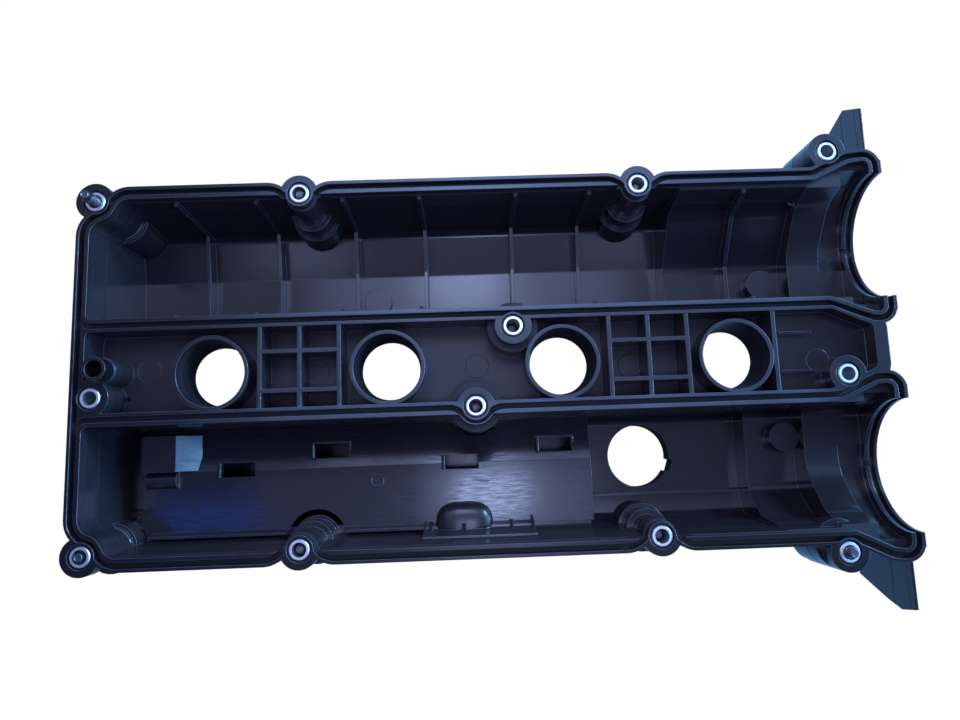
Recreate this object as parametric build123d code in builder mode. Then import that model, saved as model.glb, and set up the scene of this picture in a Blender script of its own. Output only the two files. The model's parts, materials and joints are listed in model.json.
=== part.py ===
from build123d import *
import os

os.makedirs("parts", exist_ok=True)

# Moulded valve cover for a four-cylinder engine with two camshafts, lying on its crown with the
# open side up. +X runs to the timing end, +Y to the plain hump, away from the oil filler.

# Frame. Plan places count from the middle of the row of plug wells, depths down from the gasket face.
bore_pitch = 87.0
wells_x = -5.6
wells_y = -4.0
crown_depth = 62.0
wall = 3.0
stand_height = 8.0
gasket_z = crown_depth + wall + stand_height

# Gasket rim: an outer lip, a groove and an inner ridge that follow the cavities.
lip_w = 1.6
groove_w = 3.0
ridge_w = 2.0
groove_depth = 5.0
flange_depth = 8.0
dip_depth = 5.0
rim_w = lip_w + groove_w + ridge_w

# Bolts: a steel sleeve in a rubber isolator in a stepped column.
sleeve_r = 5.0
sleeve_bore_r = 3.5
sleeve_neck_r = 2.85
sleeve_neck_len = 1.5
sleeve_len = 30.0
isolator_r = 6.0
isolator_gap = 0.1
isolator_top_gap = 1.0
isolator_seat_t = 2.0
isolator_seat_r = 7.0
seat_gap = 0.2
boss_r = 9.5
boss_land_r = 6.9
dip_r = 10.6
dip_blend_r = 8.0
column_radii = (8.0, 11.0, 12.8)
column_depths = (31.0, 43.0)
corner_depth = 30.0
corner_bolts = ("plain_1", "filler_1")
head_well_r = 9.6
channel_boss_r = 9.2
plain_foot = (180.0, 90.5)
plain_foot_r = 8.0
plain_foot_depths = (20.0, 42.0)
filler_foot = (176.5, -94.0)
filler_foot_r = 12.0
filler_foot_depths = (8.0, 34.0)

# Screws, captive in their sleeves.
thread_r = 3.0
shank_r = 2.6
screw_len = 40.0
thread_len = 14.0
head_flange_r = 6.6
head_flange_t = 1.6
head_across = 10.0
head_height = 5.0
tip_chamfer = 0.8

plain_bolt_y = 91.0
filler_bolt_y = -86.4
bolts = {
    "plain_1": (-190.1, 89.6),
    "plain_2": (-bore_pitch, plain_bolt_y),
    "plain_3": (bore_pitch, plain_bolt_y),
    "plain_4": (187.0, 105.7),
    "centre_1": (-188.9, -10.5),
    "centre_2": (19.5, 18.8),
    "centre_3": (-0.4, -20.7),
    "centre_4": (185.7, -10.9),
    "filler_1": (-190.5, -86.0),
    "filler_2": (-bore_pitch, filler_bolt_y),
    "filler_3": (bore_pitch, filler_bolt_y),
    "filler_4": (177.2, -97.4),
}
plain_edge_bolts = [bolts["plain_1"], bolts["plain_2"], bolts["plain_3"]]
filler_edge_bolts = [bolts["filler_1"], bolts["filler_2"], bolts["filler_3"]]
# How far each screw's tip stands above the gasket face. Three bolt holes have lost their screw.
tips = {
    "plain_1": 10.0,
    "plain_2": -1.5,
    "plain_3": -6.0,
    "centre_2": -11.0,
    "centre_3": -11.0,
    "filler_1": 1.5,
    "filler_2": -2.5,
    "filler_3": -7.0,
    "filler_4": 4.0,
}

# Cavities in plan.
left_x = -192.4
right_x = 207.9
plain_low_y = 28.7
plain_high_y = 90.5
plain_crown_y = 61.8
filler_high_y = -24.6
filler_low_y = -87.2
channel_low_y = -18.2
channel_high_y = 22.3
channel_right_x = 201.2
plan_corner_r = 3.0

# Arches over the camshaft ends.
arch_r = 32.6
arch_plain_y = 60.7
arch_filler_y = -56.6
arch_skin = 7.0
drum_r = 36.5
drum_start_x = 195.0
arch_groove_depth = 4.0
notch_w = 3.0

# Steps of the crowns towards the timing end.
plain_step_x = bore_pitch + 23.3
filler_step_x = 149.6
last_step_x = 177.0
mid_depth = 47.5
end_depth = 35.0

# Stiffening ribs across the plain hump.
rib_t = 2.0
rib_height = 10.0
rib_side = 2.5
rib_places = [
    -151.4,
    -bore_pitch - 23.5,
    -bore_pitch + 21.0,
    -26.2,
    24.0,
    bore_pitch - 24.5,
]
mid_rib_x = 143.8
mid_rib_height = 8.0

# Plug wells and channel.
well_rim_r = 18.7
well_mouth_r = 16.9
well_bore_r = 15.25
well_land = 6.0
well_foot_r = 18.0
channel_floor_depth = 18.0
channel_t = 3.0
crate_t = 2.0
crate_cell = 19.6
crate_low = 0.4
last_wall_x = 150.5
step_floor_depth = 9.0
step_floor_x = 155.0
step_rib_places = (11.6, -8.2)
step_rib_len = 17.0
step_rib_t = 1.4
step_rib_height = 3.0

# Hose spigot in the channel and breather outlet on the filler hump's flank.
spigot_place = (-183.0, 2.8)
spigot_r = 5.75
spigot_base_r = 6.6
spigot_bore_r = 4.2
spigot_above = 8.5
outlet_x = -140.0
outlet_depth = 51.0
outlet_r = 8.0
outlet_bore_r = 6.0
outlet_end_y = -100.0
outlet_collar_r = 10.0
outlet_collar_y = -87.5

# Oil filler neck.
filler_place = (93.0, -48.7)
filler_bore_r = 17.7
neck_r = 21.5
bayonet_slot = (109.0, -54.1)
bayonet_w = 7.0
bayonet_depth = 5.0
bayonet_turn = -18.0
drain_hole = (-178.7, -10.2)
drain_hole_r = 1.4

# Separator chamber under the baffle.
baffle_depth = 40.0
baffle_t = 2.0
baffle_left_x = -180.0
baffle_right_x = 61.5
baffle_high_y = -26.8
baffle_fold_y = -48.5
baffle_low_y = -81.6
baffle_fall = 5.0
baffle_lip = 5.0
baffle_lip_out = 1.3
lip_t = 1.4
lip_end_x = 29.4
baffle_gap = 0.8
bolt_cut_r = 15.9
slot_len = 19.0
slot_w = 7.6
slot_collar_t = 1.2
slot_collar_depth = 4.0
valve_x = (-177.0, -159.5, -149.5)
valve_y = (-48.0, -29.0)
valve_tube_r = 4.5
valve_tube_len = 16.0
valve_height = 9.0
slots = [(-130.0, -48.2), (-79.8, -39.6), (-9.2, -48.0), (42.2, -40.3)]
ring_mark = (-54.8, -56.5)
ring_mark_r = 3.7
chamber_depth = 70.0
chamber_w = 44.0
chamber_y = -52.0
ledge_w = 3.0
ledge_t = 2.0
corner_shelf = [(-186.5, -74.5), (-179.4, -69.0), (-171.0, -74.1), (-176.0, -84.0), (-187.0, -84.0)]

# Drain cup on the baffle.
cup_x = (-22.7, 7.8)
cup_y = (-80.1, -67.6)
cup_height = 9.0
cup_round = 5.5
cup_edge = 3.0
shelf_x = (-29.0, 29.0)
shelf_y = (-80.1, -78.2)
shelf_t = 1.4
shelf_wall = 5.5
peg_x = (-26.6, 17.3)
peg_height = 4.0

# Screw bosses on the crown.
crown_boss_r = 8.0
crown_boss_hole_r = 2.5
crown_boss_hole_len = 12.0
crown_bosses = [
    ((-55.1, 46.2), crown_depth, 3.0),
    ((163.8, 45.2), mid_depth, 7.0),
    ((169.0, -40.8), mid_depth, 7.0),
]

# Wings at the timing end.
wing_x = 208.0
wing_t = 1.6

deck = Plane(origin=(wells_x, wells_y, gasket_z))


def at(place, depth=0.0):
    """Point at a plan place and a depth under the gasket face."""
    return (wells_x + place[0], wells_y + place[1], gasket_z - depth)


def across(x):
    """Plane across the cover at plan place x: its own x runs along +Y, its own y up."""
    return Plane(origin=(wells_x + x, wells_y, gasket_z), x_dir=(0, 1, 0), z_dir=(1, 0, 0))


def at_side(x, depth):
    """The same place in a sketch that looks along the width of the cover."""
    return (wells_x + x, gasket_z - depth)


def outline(corners, corner_r):
    """Closed plan outline with rounded corners."""
    with BuildSketch() as plan:
        with BuildLine():
            Polyline(*corners, close=True)
        make_face()
        fillet(plan.vertices(), corner_r)
    return plan.sketch


def dipped(plain_outline, places):
    """The same outline where it bends inwards round each edge bolt."""
    with BuildSketch() as plan:
        add(plain_outline)
        with Locations(*places):
            Circle(dip_r, mode=Mode.SUBTRACT)
        ends = [
            v
            for v in plan.vertices()
            if any(abs((Vector(v.X, v.Y) - Vector(*p)).length - dip_r) < 0.01 for p in places)
        ]
        fillet(ends, dip_blend_r)
    return plan.sketch


def grown(plan, by):
    """A plan outline moved outwards."""
    return offset(plan, amount=by, mode=Mode.PRIVATE) if by else plan


def hump(plan, runs, growth):
    """One hump as runs of constant section with rounded folds, cut to its plan.

    growth is the skin added all round.
    """
    top = -growth if growth else 1.0
    with BuildPart() as body:
        for section, folds, start, end in runs:
            low, high = section[0][0], section[-1][0]
            with BuildSketch(across(start)) as profile:
                with BuildLine():
                    Polyline((low, top), *section[1:-1], (high, top), close=True)
                make_face()
                if growth:
                    offset(amount=growth, kind=Kind.INTERSECTION)
                for corner, radius in zip(section[1:-1], folds):
                    fillet(profile.vertices().sort_by_distance(corner)[0], radius + growth)
            extrude(amount=end - start + growth)
        with BuildSketch(deck.offset(2 * flange_depth)):
            add(grown(plan, growth))
        extrude(amount=-2 * gasket_z, mode=Mode.INTERSECT)
    return body.part


def cross_rib(section, inner_edge, x):
    """Rib across a hump, rooted in its wall; inner_edge is the line where the rib ends."""
    with BuildPart() as body:
        with BuildSketch(across(x - rib_t / 2)):
            with BuildLine():
                Polyline(*section, close=True)
            make_face()
            offset(amount=wall / 2, kind=Kind.INTERSECTION)
            with BuildLine():
                Polyline(*inner_edge, close=True)
            make_face(mode=Mode.SUBTRACT)
            with Locations((0, -dip_depth)):
                Rectangle(
                    4 * plain_high_y, 2 * dip_depth, align=(Align.CENTER, Align.MIN), mode=Mode.SUBTRACT
                )
        extrude(amount=rib_t)
    return body.part


# Sections of the humps, across the cover and down from the gasket face.
plain_deep = [
    (plain_low_y, 0),
    (plain_low_y + 1.8, -crown_depth),
    (plain_crown_y, -crown_depth),
    (87.0, -crown_depth + 5.0),
    (plain_high_y, 0),
]
plain_mid = [
    (plain_low_y, 0),
    (plain_low_y + 1.5, -mid_depth),
    (57.0, -mid_depth),
    (84.0, -28.0),
    (88.5, -6.0),
    (plain_high_y, 0),
]
plain_end = [
    (plain_low_y, 0),
    (plain_low_y + 1.2, -end_depth),
    (60.7, -end_depth),
    (82.0, -20.0),
    (plain_high_y, 0),
]
plain_deep_rib = [
    (plain_low_y + rib_side, 1),
    (plain_low_y + rib_side, -crown_depth + rib_height),
    (plain_crown_y, -crown_depth + rib_height),
    (plain_high_y - 2 * rib_side, -crown_depth + rib_height + 4.0),
    (plain_high_y - rib_side, 1),
]
plain_mid_rib = [
    (plain_low_y + rib_side, 1),
    (plain_low_y + rib_side, -mid_depth + mid_rib_height),
    (56.0, -mid_depth + mid_rib_height),
    (80.0, -24.0),
    (86.0, -6.0),
    (plain_high_y - rib_side, 1),
]
filler_deep = [
    (filler_low_y, 0),
    (-82.5, -crown_depth + 5.0),
    (-69.5, -crown_depth),
    (filler_high_y - 2.4, -crown_depth),
    (filler_high_y, 0),
]
filler_mid = [
    (filler_low_y, 0),
    (-82.0, -33.0),
    (-70.0, -mid_depth),
    (filler_high_y - 2.0, -mid_depth),
    (filler_high_y, 0),
]
filler_end = [
    (filler_low_y, 0),
    (-79.0, -20.0),
    (-60.0, -end_depth),
    (filler_high_y - 1.6, -end_depth),
    (filler_high_y, 0),
]
first_x = left_x - 10.0
# Radii of the folds inside, one for each inner point of the section.
plain_deep_folds = (4.0, 6.0, 5.0)
plain_mid_folds = (4.0, 12.0, 12.0, 6.0)
plain_end_folds = (4.0, 22.0, 20.0)
filler_deep_folds = (5.0, 6.0, 4.0)
filler_mid_folds = (10.0, 10.0, 4.0)
filler_end_folds = (18.0, 22.0, 5.0)
plain_runs = [
    (plain_deep, plain_deep_folds, first_x, plain_step_x),
    (plain_mid, plain_mid_folds, plain_step_x, last_step_x),
    (plain_end, plain_end_folds, last_step_x, right_x),
]
filler_runs = [
    (filler_deep, filler_deep_folds, first_x, filler_step_x),
    (filler_mid, filler_mid_folds, filler_step_x, last_step_x),
    (filler_end, filler_end_folds, last_step_x, right_x),
]

plain_plan = outline(
    [
        (left_x, plain_low_y),
        (left_x, plain_high_y),
        (179.0, plain_high_y),
        (197.5, plain_high_y + 8.5),
        (right_x, plain_high_y + 9.8),
        (right_x, 20.4),
        (202.5, 20.4),
        (181.0, plain_low_y),
    ],
    plan_corner_r,
)
filler_plan = outline(
    [
        (left_x, filler_low_y),
        (left_x, filler_high_y),
        (181.5, filler_high_y),
        (200.5, -16.3),
        (right_x, -16.3),
        (right_x, filler_low_y - 9.5),
        (200.0, filler_low_y - 8.7),
        (181.5, filler_low_y),
    ],
    plan_corner_r,
)
channel_plan = outline(
    [
        (left_x, channel_low_y),
        (left_x, channel_high_y),
        (181.0, channel_high_y),
        (channel_right_x, 13.3),
        (channel_right_x, -7.8),
        (177.0, channel_low_y),
    ],
    plan_corner_r,
)
plain_rim = dipped(plain_plan, plain_edge_bolts)
filler_rim = dipped(filler_plan, [*filler_edge_bolts, bolts["centre_3"]])

with BuildSketch() as flange_plan:
    add(grown(plain_rim, rim_w))
    add(grown(filler_rim, rim_w))
    add(grown(channel_plan, rim_w))
    with Locations((left_x - rim_w / 2, (plain_low_y + filler_high_y) / 2)):
        Rectangle(rim_w, plain_low_y - filler_high_y + 2 * rim_w)
    with Locations(*plain_edge_bolts, *filler_edge_bolts, bolts["plain_4"], bolts["filler_4"]):
        Circle(boss_r)

with BuildSketch() as groove_plan:
    add(grown(plain_rim, ridge_w + groove_w))
    add(grown(filler_rim, ridge_w + groove_w))
    with Locations((left_x - ridge_w - groove_w / 2, (plain_low_y + filler_high_y) / 2)):
        Rectangle(groove_w, plain_low_y - filler_high_y + 2 * ridge_w)
    add(grown(channel_plan, lip_w), mode=Mode.SUBTRACT)
    add(grown(plain_rim, ridge_w), mode=Mode.SUBTRACT)
    add(grown(filler_rim, ridge_w), mode=Mode.SUBTRACT)
    with Locations(*bolts.values()):
        Circle(boss_land_r, mode=Mode.SUBTRACT)

plain_shell = hump(plain_plan, plain_runs, wall)
plain_cavity = hump(plain_plan, plain_runs, 0)
filler_shell = hump(filler_plan, filler_runs, wall)
filler_cavity = hump(filler_plan, filler_runs, 0)

well_places = [(bore_pitch * (i - 1.5), 0) for i in range(4)]
crate_middles = [(-bore_pitch, 0), (bore_pitch, 0)]
chamber_middle = ((baffle_left_x + baffle_right_x) / 2, chamber_y)
chamber_len = baffle_right_x - baffle_left_x
arch_middles = [(arch_plain_y, 0), (arch_filler_y, 0)]
outlet_plane = Plane(origin=at((outlet_x, outlet_end_y), outlet_depth), x_dir=(1, 0, 0), z_dir=(0, 1, 0))
down = (Align.CENTER, Align.CENTER, Align.MAX)
up = (Align.CENTER, Align.CENTER, Align.MIN)

# Outer form of the moulding, still solid.
with BuildPart() as form:
    add(plain_shell)
    add(filler_shell)
    with BuildSketch(deck):
        add(flange_plan.sketch)
    extrude(amount=-flange_depth)
    with BuildSketch(deck):
        add(grown(channel_plan, wall))
    extrude(amount=-channel_floor_depth - channel_t)
    # Half drums round the camshaft arches.
    with BuildSketch(across(drum_start_x - wall)):
        with Locations(*arch_middles):
            Circle(arch_r + arch_skin)
        Rectangle(8 * arch_r, 2 * arch_r, align=(Align.CENTER, Align.MIN), mode=Mode.SUBTRACT)
    extrude(amount=right_x + rim_w - drum_start_x + wall)
    # Raised roof of the separator chamber.
    with Locations(at(chamber_middle, crown_depth - wall)):
        Box(chamber_len + 2 * wall, chamber_w + 2 * wall, stand_height + 2 * wall, align=down)
    # Filler neck, hose spigot, breather outlet and crown bosses.
    with Locations(at(filler_place, crown_depth)):
        Cylinder(neck_r, gasket_z - crown_depth, align=down)
    with BuildSketch(outlet_plane):
        Circle(outlet_r)
    extrude(amount=baffle_low_y - outlet_end_y - wall)
    with BuildSketch(outlet_plane.offset(outlet_collar_y - outlet_end_y)):
        Circle(outlet_collar_r)
    extrude(amount=baffle_low_y - outlet_collar_y - wall)

# Room inside: the humps, the camshaft drums, the channel and the separator chamber.
with BuildPart() as room:
    add(plain_cavity)
    add(filler_cavity)
    with BuildSketch(deck.offset(1.0)):
        add(plain_rim)
        add(filler_rim)
    extrude(amount=-dip_depth - 1.0)
    with BuildSketch(across(drum_start_x)):
        with Locations(*arch_middles):
            Circle(drum_r)
    extrude(amount=right_x - drum_start_x)
    with Locations(at(chamber_middle, crown_depth - 1.0)):
        Box(chamber_len - 2 * ledge_w, chamber_w, chamber_depth - crown_depth + 1.0, align=down)

with BuildPart() as channel_room:
    with BuildSketch(deck.offset(1.0)):
        add(channel_plan)
    extrude(amount=-channel_floor_depth - 1.0)
    # Shallower floor at the timing end.
    with Locations(at((step_floor_x, 0), step_floor_depth)):
        Box(bore_pitch, bore_pitch, bore_pitch, align=(Align.MIN, Align.CENTER, Align.MAX), mode=Mode.SUBTRACT)

# What stands inside: bolt columns, wells, ribs, ledges and pads.
with BuildPart() as inner:
    edge_places = [*plain_edge_bolts, *filler_edge_bolts]
    with Locations(*[at(place) for place in edge_places]):
        Cylinder(column_radii[0], column_depths[0], align=down)
    with Locations(*[at(place, column_depths[0] - wall) for place in edge_places]):
        Cylinder(column_radii[1], column_depths[1] - column_depths[0] + wall, align=down)
    with Locations(*[at(place, column_depths[1] - wall) for place in edge_places]):
        Cylinder(column_radii[2], crown_depth - column_depths[1] + 2 * wall, align=down)
    with Locations(*[at(bolts[name]) for name in bolts if name.startswith("centre")]):
        Cylinder(channel_boss_r, sleeve_len + isolator_seat_t, align=down)
    with Locations(at(bolts["centre_2"], dip_depth), at(bolts["centre_3"], dip_depth)):
        Cylinder(column_radii[2], crown_depth - dip_depth, align=down)
    with Locations(*[at(bolts[name], corner_depth) for name in corner_bolts]):
        Cylinder(column_radii[2], crown_depth - corner_depth + wall, align=down)
    with BuildSketch(deck):
        add(plain_plan)
        add(filler_plan)
        add(plain_rim, mode=Mode.SUBTRACT)
        add(filler_rim, mode=Mode.SUBTRACT)
        with Locations((left_x, 0)):
            Rectangle(4 * dip_r, 4 * plain_high_y, mode=Mode.INTERSECT)
    extrude(amount=-corner_depth - 1.0)
    with Locations(at(bolts["plain_4"]), at(bolts["filler_4"])):
        Cylinder(boss_r, sleeve_len + isolator_seat_t, align=down)
    # Feet of the timing end's edge bolts, which bulge into the cavities.
    with Locations(at(plain_foot, plain_foot_depths[0])):
        Cylinder(plain_foot_r, plain_foot_depths[1] - plain_foot_depths[0], align=down)
    with Locations(at(filler_foot, filler_foot_depths[0])):
        Cylinder(filler_foot_r, filler_foot_depths[1] - filler_foot_depths[0], align=down)
    with Locations(*[at(place) for place in well_places]):
        Cone(well_foot_r, well_rim_r, channel_floor_depth + channel_t, align=down)
    with Locations(at(spigot_place, -spigot_above)):
        Cylinder(spigot_r, spigot_above + dip_depth, align=down)
    with Locations(at(spigot_place)):
        Cylinder(spigot_base_r, channel_floor_depth + 1.0, align=down)
    for place, depth, pad in crown_bosses:
        with Locations(at(place, depth - pad)):
            Cylinder(crown_boss_r, gasket_z - depth + pad, align=down)

with BuildPart() as ribs:
    for x in rib_places:
        add(cross_rib(plain_deep, plain_deep_rib, x))
    add(cross_rib(plain_mid, plain_mid_rib, mid_rib_x))
    # Egg crate between the wells.
    channel_mid_y = (channel_low_y + channel_high_y) / 2
    channel_w = channel_high_y - channel_low_y
    walls_x = [x + i * crate_cell for x, _ in crate_middles for i in (-1, 0, 1)]
    with Locations(*[at((x, channel_mid_y), crate_low) for x in (*walls_x, last_wall_x)]):
        Box(crate_t, channel_w, channel_floor_depth, align=down)
    for side in (-0.5, 0.5):
        with Locations(*[at((x, side * crate_cell), crate_low) for x, _ in crate_middles]):
            Box(2 * crate_cell, crate_t, channel_floor_depth, align=down)
    with Locations(*[at((step_floor_x, y), step_floor_depth - step_rib_height) for y in step_rib_places]):
        Box(step_rib_len, step_rib_t, step_rib_height + 1.0, align=(Align.MIN, Align.CENTER, Align.MAX))
    # Ledges that carry the baffle.
    ledge_depth = baffle_depth + baffle_t
    for x in (baffle_left_x + 1.5, baffle_right_x - ledge_w):
        with BuildSketch(across(x)):
            with BuildLine():
                Polyline(
                    (baffle_low_y - 1.5, -ledge_depth),
                    (baffle_low_y, -crown_depth - 1.0),
                    (filler_high_y - 1.5, -crown_depth - 1.0),
                    (filler_high_y - 1.0, -ledge_depth - baffle_fall),
                    (baffle_high_y, -ledge_depth - baffle_fall),
                    (baffle_fold_y, -ledge_depth),
                    close=True,
                )
            make_face()
        extrude(amount=ledge_t)
    with BuildSketch(deck.offset(-ledge_depth)):
        with BuildLine():
            Polyline(*corner_shelf, close=True)
        make_face()
    extrude(amount=-ledge_t)
    for y, top in ((filler_high_y - ledge_w, ledge_depth + baffle_fall), (baffle_low_y, ledge_depth)):
        with Locations(at((chamber_middle[0], y), top)):
            Box(chamber_len - ledge_w, ledge_w + 1.0, crown_depth - top + 1.0, align=down)

# Wings beside the timing end.
with BuildPart() as wings:
    with BuildSketch(across(wing_x - wing_t)):
        with BuildLine():
            Polyline(
                (92.0, -1.5), (129.2, -0.8), (135.5, -15.0), (129.0, -31.5), (85.0, -30.0), close=True
            )
        make_face()
        with BuildLine():
            Polyline(
                (-92.0, -1.5),
                (-125.6, -1.5),
                (-127.5, -12.0),
                (-124.6, -23.0),
                (-116.0, -47.0),
                (-80.0, -30.0),
                close=True,
            )
        make_face()
    extrude(amount=wing_t)

# Everything that is open through or cut into the moulding.
with BuildPart() as bores:
    with BuildSketch(across(right_x - 1.0)):
        with Locations(*arch_middles):
            Circle(arch_r)
    extrude(amount=rim_w + 2.0)
    with BuildSketch(across(right_x + ridge_w)):
        with Locations(*arch_middles):
            Circle(arch_r + arch_groove_depth)
    extrude(amount=groove_w)
    with Locations(*[at((right_x + ridge_w / 2, y), arch_r - 1.0) for y in (arch_plain_y, arch_filler_y)]):
        Box(2 * ridge_w, notch_w, arch_groove_depth + 0.5, align=down)
    with BuildSketch(deck.offset(1.0)):
        add(groove_plan.sketch)
    extrude(amount=-groove_depth - 1.0)
    with Locations(*[at(place, -1.0) for place in well_places]):
        Cylinder(well_bore_r, 2 * channel_floor_depth, align=down)
    with Locations(*[at(place) for place in well_places]):
        Cone(well_bore_r, well_mouth_r, channel_floor_depth + channel_t - well_land, align=down)
    with Locations(*[at(place, -1.0) for place in bolts.values()]):
        Cylinder(isolator_r, sleeve_len, align=down)
    with Locations(*[at(place, sleeve_len - isolator_seat_t) for place in bolts.values()]):
        Cylinder(isolator_seat_r + seat_gap, 3 * isolator_seat_t, align=down)
    with Locations(*[at(place, sleeve_len + isolator_seat_t) for place in bolts.values()]):
        Cylinder(head_well_r, gasket_z, align=down)
    with Locations(at(filler_place, crown_depth - 2.0)):
        Cylinder(filler_bore_r, gasket_z - crown_depth + 4.0, align=down)
    with Locations(at(bayonet_slot, crown_depth - 2.0)):
        Box(bayonet_depth, bayonet_w, wall + stand_height + 4.0, rotation=(0, 0, bayonet_turn), align=down)
    with Locations(at(spigot_place, -spigot_above - 1.0)):
        Cylinder(spigot_bore_r, gasket_z, align=down)
    with Locations(at(drain_hole, channel_floor_depth - 1.0)):
        Cylinder(drain_hole_r, channel_t + 2.0, align=down)
    with BuildSketch(outlet_plane):
        Circle(outlet_bore_r)
    extrude(amount=baffle_low_y - outlet_end_y + 2 * ledge_w)
    with Locations(*[at(place, gasket_z) for place, _, _ in crown_bosses]):
        Cylinder(crown_boss_hole_r, crown_boss_hole_len, align=up)

with BuildPart() as cover:
    add(form.part)
    add(wings.part)
    add(room.part, mode=Mode.SUBTRACT)
    add(channel_room.part, mode=Mode.SUBTRACT)
    add(inner.part)
    add(ribs.part)
    add(bores.part, mode=Mode.SUBTRACT)
cover.part.label = "cover"
export_step(cover.part, "parts/cover.step")

# Baffle plate that closes the separator chamber.
with BuildPart() as baffle:
    with BuildSketch(across(baffle_left_x)):
        with BuildLine():
            Polyline(
                (baffle_high_y, -baffle_depth - baffle_fall),
                (baffle_fold_y, -baffle_depth),
                (baffle_low_y, -baffle_depth),
                (baffle_low_y, -baffle_depth - baffle_t),
                (baffle_fold_y, -baffle_depth - baffle_t),
                (baffle_high_y, -baffle_depth - baffle_fall - baffle_t),
                close=True,
            )
        make_face()
    extrude(amount=baffle_right_x - baffle_left_x)
    with BuildSketch(across(baffle_left_x + 5.0)):
        with BuildLine():
            Polyline(
                (baffle_low_y + lip_t, -baffle_depth),
                (baffle_low_y, -baffle_depth - baffle_t),
                (baffle_low_y - baffle_lip_out, -baffle_depth + baffle_lip),
                (baffle_low_y - baffle_lip_out + lip_t, -baffle_depth + baffle_lip),
                close=True,
            )
        make_face()
    extrude(amount=lip_end_x - baffle_left_x - 5.0)
    # Collars of the slots, then the slots.
    with Locations(*[at(place, baffle_depth + baffle_t) for place in slots]):
        Box(slot_len + 2 * slot_collar_t, slot_w + 2 * slot_collar_t, slot_collar_depth, align=down)
    with Locations(*[at(place, baffle_depth - 5.0) for place in slots]):
        Box(slot_len, slot_w, 20.0, align=down, mode=Mode.SUBTRACT)
    # Valve housing at the closed end, with a slanted flank.
    with BuildSketch(Plane.XZ.offset(-wells_y - valve_y[1])):
        with BuildLine():
            Polyline(
                at_side(valve_x[0], baffle_depth + baffle_t),
                at_side(valve_x[0], baffle_depth - valve_height),
                at_side(valve_x[1], baffle_depth - valve_height),
                at_side(valve_x[2], baffle_depth + baffle_t),
                close=True,
            )
        make_face()
    extrude(amount=valve_y[1] - valve_y[0])
    with BuildSketch(across(valve_x[0])):
        with Locations((valve_y[0] - valve_tube_r, -baffle_depth)):
            Circle(valve_tube_r)
            Rectangle(
                2 * valve_tube_r, 2 * valve_tube_r, align=(Align.CENTER, Align.MAX), mode=Mode.SUBTRACT
            )
    extrude(amount=valve_tube_len)
    with Locations(at(ring_mark, baffle_depth - 0.5)):
        Cylinder(ring_mark_r, 1.0, align=down)
        Cylinder(ring_mark_r - 0.8, 0.5, align=down, mode=Mode.SUBTRACT)
    # Room for the bolt columns.
    with Locations(at(bolts["filler_2"])):
        Cylinder(bolt_cut_r, gasket_z, align=down, mode=Mode.SUBTRACT)
    with Locations(at(bolts["filler_1"]), at(bolts["centre_3"])):
        Cylinder(column_radii[2] + baffle_gap, gasket_z, align=down, mode=Mode.SUBTRACT)
baffle.part.label = "baffle"
export_step(baffle.part, "parts/baffle.step")

# Cup that drains the separator chamber, heat-staked to the baffle.
with BuildPart() as drain_cup:
    cup_middle = ((cup_x[0] + cup_x[1]) / 2, (cup_y[0] + cup_y[1]) / 2)
    with Locations(at(cup_middle, baffle_depth)):
        Box(cup_x[1] - cup_x[0], cup_y[1] - cup_y[0], cup_height, align=up)
    corners = drain_cup.edges().filter_by(Axis.Z).group_by(Axis.Y)[-1]
    fillet(corners, cup_round)
    fillet(drain_cup.faces().sort_by(Axis.Z)[-1].edges(), cup_edge)
    shelf_middle = ((shelf_x[0] + shelf_x[1]) / 2, (shelf_y[0] + shelf_y[1]) / 2)
    with Locations(at(shelf_middle, baffle_depth)):
        Box(shelf_x[1] - shelf_x[0], shelf_y[1] - shelf_y[0], shelf_wall, align=up)
    with Locations(at((shelf_middle[0], shelf_y[1] + 1.2), baffle_depth)):
        Box(shelf_x[1] - shelf_x[0], 4.0, shelf_t, align=up)
    with Locations(*[at((x, shelf_y[1] + 1.0), baffle_depth) for x in peg_x]):
        Box(1.4, 3.0, peg_height, align=up)
drain_cup.part.label = "drain_cup"
export_step(drain_cup.part, "parts/drain_cup.step")

# Steel sleeves, each with a neck that keeps its screw from falling out.
with BuildPart() as sleeve:
    Cylinder(sleeve_r, sleeve_len, align=down)
    chamfer(sleeve.edges().group_by(Axis.Z)[-1], 0.4)
    Cylinder(sleeve_bore_r, sleeve_len - sleeve_neck_len, align=down, mode=Mode.SUBTRACT)
    Cylinder(sleeve_neck_r, sleeve_len, align=down, mode=Mode.SUBTRACT)

# Rubber isolators between sleeve and moulding, with a seat under the screw's head side.
with BuildPart() as isolator:
    isolator_len = sleeve_len - isolator_top_gap
    Cylinder(isolator_r - isolator_gap, isolator_len, align=down)
    with Locations((0, 0, -isolator_len + isolator_seat_t)):
        Cylinder(isolator_seat_r, isolator_seat_t, align=down)
    Cylinder(sleeve_r, isolator_len, align=down, mode=Mode.SUBTRACT)

# Captive flange screw, its tip at the origin.
with BuildPart() as screw:
    Cylinder(thread_r, thread_len, align=down)
    chamfer(screw.edges().group_by(Axis.Z)[-1], tip_chamfer)
    Cylinder(shank_r, screw_len, align=down)
    with Locations((0, 0, -screw_len)):
        Cone(head_flange_r, 0.8 * head_flange_r, head_flange_t, align=down)
    with BuildSketch(Plane.XY.offset(-screw_len)):
        RegularPolygon(head_across / 2, 6, major_radius=False)
    extrude(amount=-head_height)

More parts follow.
